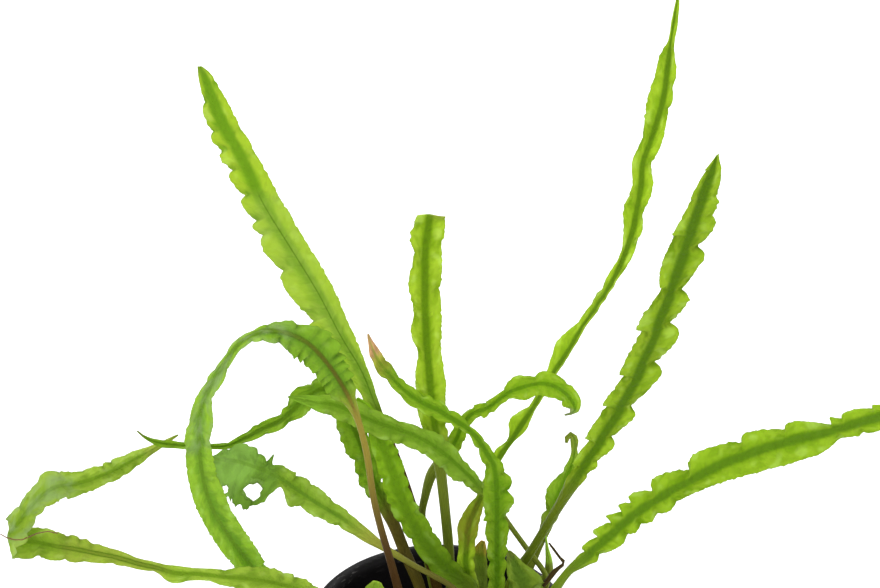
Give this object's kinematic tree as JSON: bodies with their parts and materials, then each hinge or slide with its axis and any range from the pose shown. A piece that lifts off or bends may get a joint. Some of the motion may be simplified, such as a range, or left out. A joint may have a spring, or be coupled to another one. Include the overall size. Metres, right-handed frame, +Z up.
{
  "type": "potted cryptocoryne balansae",
  "caption": "Potted aquarium plant with long, narrow, ruffled green leaves, some folded, looped or torn, rooted in a dark wool plug in a small round black plastic pot.",
  "frame": {"origin": "centre of the pot's flat underside", "axes": "+Z up through the pot's mouth, +X to the right of the picture, +Y away from its camera"},
  "size_m": [0.1804, 0.0708, 0.1778],
  "materials": {
    "pot_plastic": "satin",
    "mineral_wool": "matte",
    "leaf_bright": "satin",
    "leaf_deep": "satin",
    "leaf_yellow": "satin",
    "dead_tissue": "matte"
  },
  "bodies": {
    "root": {"pot": "pot_plastic", "growing_medium": "mineral_wool", "leaf_tall_left": "leaf_bright", "leaf_front_broad": "leaf_deep", "leaf_right_wavy": "leaf_bright", "leaf_crossing": "leaf_deep", "leaf_low_left": "leaf_bright", "leaf_looped": "leaf_bright", "leaf_folded": "leaf_bright", "leaf_cut": "leaf_bright", "leaf_twisted": "leaf_deep", "leaf_arching_right": "leaf_bright", "leaf_right_straight": "leaf_bright", "leaf_right_low": "leaf_bright", "leaf_short_behind": "leaf_bright", "leaf_small_back": "leaf_deep", "leaf_torn": "leaf_deep", "leaf_dying": "leaf_yellow", "leaf_sheath": "leaf_deep", "leaf_young_front": "leaf_bright", "dead_root": "dead_tissue"}
  },
  "joints": []
}
